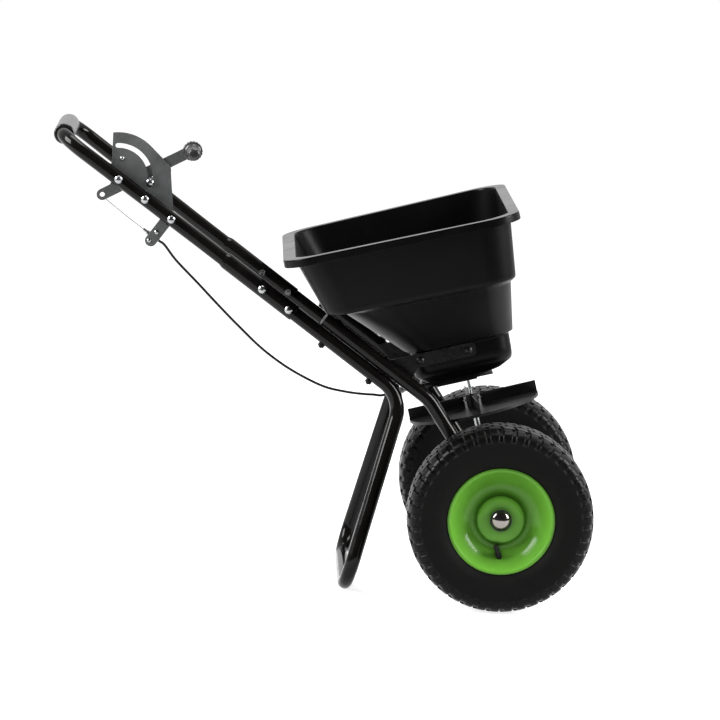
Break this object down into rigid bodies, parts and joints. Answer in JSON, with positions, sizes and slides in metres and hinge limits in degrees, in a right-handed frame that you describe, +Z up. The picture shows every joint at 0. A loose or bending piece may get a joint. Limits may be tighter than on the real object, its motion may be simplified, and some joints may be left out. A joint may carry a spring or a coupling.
{
  "type": "walk-behind broadcast spreader",
  "caption": "Push spreader on pneumatic tyres with a tilted plastic hopper over a wheel-driven spinner disc, a tube stand and a lever that works the outlet shutter by cable.",
  "frame": {"origin": "on the ground, under the middle of the bounding box", "axes": "+X the way the machine is pushed, +Y to its left across the track, +Z up"},
  "size_m": [0.9966, 0.587, 0.796],
  "materials": {
    "frame_paint": "gloss black paint",
    "plate_paint": "satin black paint",
    "zinc": "bright zinc plate",
    "steel": "plain steel",
    "chrome": "polished",
    "hopper_plastic": "satin black polyethylene",
    "disc_plastic": "satin dark grey plastic",
    "case_plastic": "black nylon",
    "nylon": "white nylon",
    "knob_plastic": "black plastic",
    "foam": "black foam",
    "rubber": "black rubber",
    "cable_jacket": "black cable jacket",
    "tyre_rubber": "black tyre rubber",
    "rim_green": "gloss green paint"
  },
  "bodies": {
    "frame": {"handlebar": "frame_paint", "grip": "foam", "stand_tube": "frame_paint", "chassis_tube_right": "frame_paint", "chassis_tube_left": "frame_paint", "tube_plugs": "knob_plastic", "frame_bolts": "zinc", "socket_bolts": "zinc", "quadrant_plate": "plate_paint", "plate_bolts": "zinc", "stop_bolt": "zinc", "plate_rivets": "zinc", "cable_clamp": "steel", "cable_adjuster": "zinc", "outer_cable": "cable_jacket", "inner_wire": "steel", "hopper": "hopper_plastic", "hopper_bracket_right": "plate_paint", "hopper_bracket_left": "plate_paint", "hopper_bolts": "zinc", "floor_plate": "zinc", "shutter_guides": "zinc", "cable_anchor": "zinc", "cable_ferrule": "steel", "shaft_bush": "nylon", "case_right": "case_plastic", "case_left": "case_plastic", "case_screws": "zinc", "axle_bush_right": "nylon", "axle_bush_left": "nylon"},
    "axle": {"axle": "zinc", "crown_gear": "steel", "gear_pin": "steel", "spacer_right": "steel", "spacer_left": "steel", "hub_washers": "plate_paint", "hub_caps": "chrome", "drive_pin": "steel", "rim_outer_right": "rim_green", "rim_inner_right": "rim_green", "hub_bush_right": "nylon", "tyre_right": "tyre_rubber", "valve_right": "rubber"},
    "free_wheel": {"rim_outer_left": "rim_green", "rim_inner_left": "rim_green", "hub_bush_left": "nylon", "tyre_left": "tyre_rubber", "valve_left": "rubber"},
    "spinner": {"spinner_shaft": "zinc", "pinion": "steel", "pinion_pin": "steel", "spinner_disc": "disc_plastic", "spinner_pin": "zinc", "shaft_clip": "steel", "agitator": "steel"},
    "lever": {"control_lever": "plate_paint", "lever_knob": "knob_plastic", "knob_screw": "zinc"},
    "shutter": {"shutter": "steel", "shutter_wire": "steel"}
  },
  "joints": [
    {"name": "axle_spin", "type": "hinge", "parent": "frame", "child": "axle", "pos_m": [0.33328, 0, 0.165], "axis": [0, 1, 0], "continuous": true},
    {"name": "free_wheel_spin", "type": "hinge", "parent": "frame", "child": "free_wheel", "pos_m": [0.33328, 0.23, 0.165], "axis": [0, 1, 0], "continuous": true},
    {"name": "spinner_spin", "type": "hinge", "parent": "frame", "child": "spinner", "pos_m": [0.33328, 0, 0.165], "axis": [-0.2823, 0, 0.9593], "continuous": true},
    {"name": "lever_swing", "type": "hinge", "parent": "frame", "child": "lever", "pos_m": [-0.37823, -0.14493, 0.70899], "axis": [0.0679, -0.9966, -0.0458], "range_deg": [0, 60], "deforming": ["inner_wire"]},
    {"name": "shutter_slide", "type": "slide", "parent": "frame", "child": "shutter", "axis": [0.9593, 0, 0.2823], "range_m": [0, 0.03404]}
  ],
  "couplings": [
    {"joint": "spinner_spin", "follows": "axle_spin", "ratio": -3},
    {"joint": "shutter_slide", "follows": "lever_swing", "m_per_rad": 0.0325}
  ]
}
